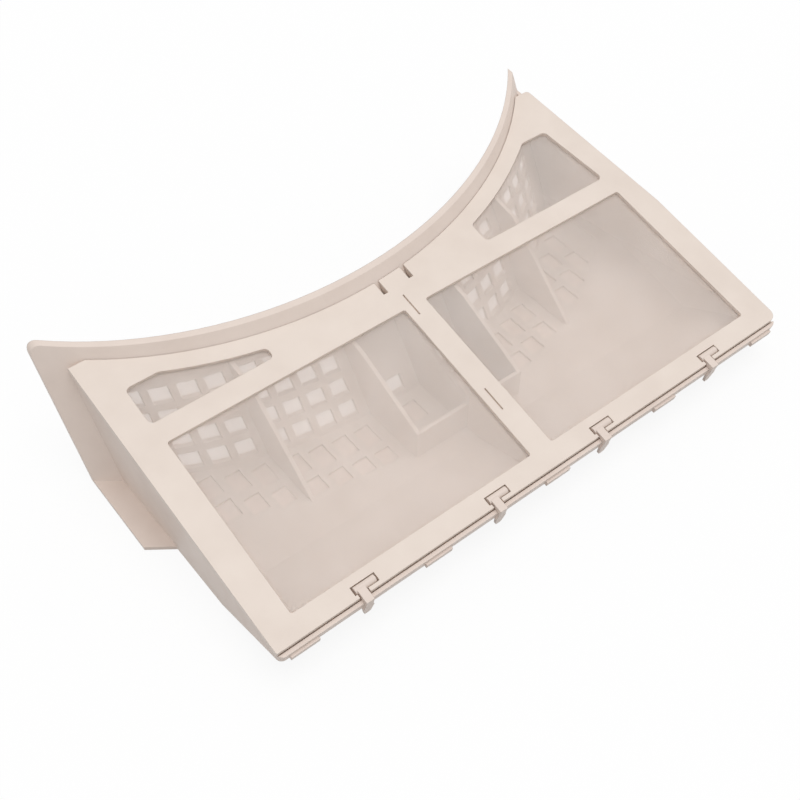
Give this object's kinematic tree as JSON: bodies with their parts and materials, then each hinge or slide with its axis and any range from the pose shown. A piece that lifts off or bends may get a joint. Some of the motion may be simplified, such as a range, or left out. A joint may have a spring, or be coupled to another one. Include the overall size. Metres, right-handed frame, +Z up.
{
  "type": "tumble dryer lint filter",
  "caption": "Lint filter of a tumble dryer: a moulded pocket with a curved, pierced grille wall, closed by a hinged frame with woven screens.",
  "frame": {"origin": "middle of the hinge edge's length, on the underside of the flat floor, where the filter rests", "axes": "+X along the hinge edge to the right as seen from the hinge side, +Y from the hinge edge to the curved wall, +Z up"},
  "size_m": [0.3456, 0.2179, 0.0764],
  "materials": {
    "housing_plastic": "satin moulded, pinkish beige",
    "frame_plastic": "satin moulded, pinkish beige",
    "screen_mesh": "fine woven screen, hazy and see-through"
  },
  "bodies": {
    "housing": {"filter_housing": "housing_plastic"},
    "screen": {"screen_frame": "frame_plastic", "mesh_large_left": "screen_mesh", "mesh_large_right": "screen_mesh", "mesh_small_left": "screen_mesh", "mesh_small_right": "screen_mesh"}
  },
  "joints": [
    {"name": "screen_hinge", "type": "hinge", "parent": "housing", "child": "screen", "pos_m": [0, -0.05477, 0.02366], "axis": [1, 0, 0], "range_deg": [0, 100]}
  ]
}
